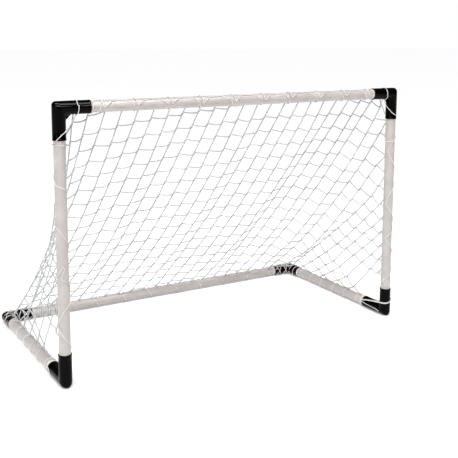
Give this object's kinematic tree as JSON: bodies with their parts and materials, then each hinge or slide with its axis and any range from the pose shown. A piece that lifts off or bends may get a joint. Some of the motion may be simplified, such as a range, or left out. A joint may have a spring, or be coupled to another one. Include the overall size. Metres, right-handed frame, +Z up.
{
  "type": "garden football goal",
  "caption": "Small rectangular sports goal: round tubes pushed into moulded corner elbows, with a laced net sloping to the ground behind.",
  "frame": {"origin": "on the ground, at the middle of the footprint", "axes": "+Z up, mouth faces -Y, +X along the crossbar to the right as seen from the front"},
  "size_m": [0.914, 0.48, 0.61],
  "materials": {
    "white_tube": "extruded white PVC tube, low gloss",
    "black_elbow": "injection-moulded black plastic, high gloss",
    "net_twine": "white knotted twine netting",
    "lacing_cord": "white twisted cord"
  },
  "bodies": {
    "ground_frame": {"front_left_foot_elbow": "black_elbow", "front_right_foot_elbow": "black_elbow", "rear_left_elbow": "black_elbow", "rear_right_elbow": "black_elbow", "left_side_tube": "white_tube", "right_side_tube": "white_tube", "rear_tube": "white_tube", "net_back": "net_twine", "net_left": "net_twine", "net_right": "net_twine", "rear_lacing": "lacing_cord", "left_side_lacing": "lacing_cord", "right_side_lacing": "lacing_cord", "front_left_tie": "lacing_cord", "front_right_tie": "lacing_cord", "rear_left_tie": "lacing_cord", "rear_right_tie": "lacing_cord"},
    "front_frame": {"left_post_tube": "white_tube", "right_post_tube": "white_tube", "crossbar_tube": "white_tube", "top_left_elbow": "black_elbow", "top_right_elbow": "black_elbow", "crossbar_lacing": "lacing_cord", "left_post_lacing": "lacing_cord", "right_post_lacing": "lacing_cord", "top_left_tie": "lacing_cord", "top_right_tie": "lacing_cord"}
  },
  "joints": [
    {"name": "front_frame_lift", "type": "slide", "parent": "ground_frame", "child": "front_frame", "axis": [0, 0, 1], "range_m": [0, 0.038]}
  ]
}
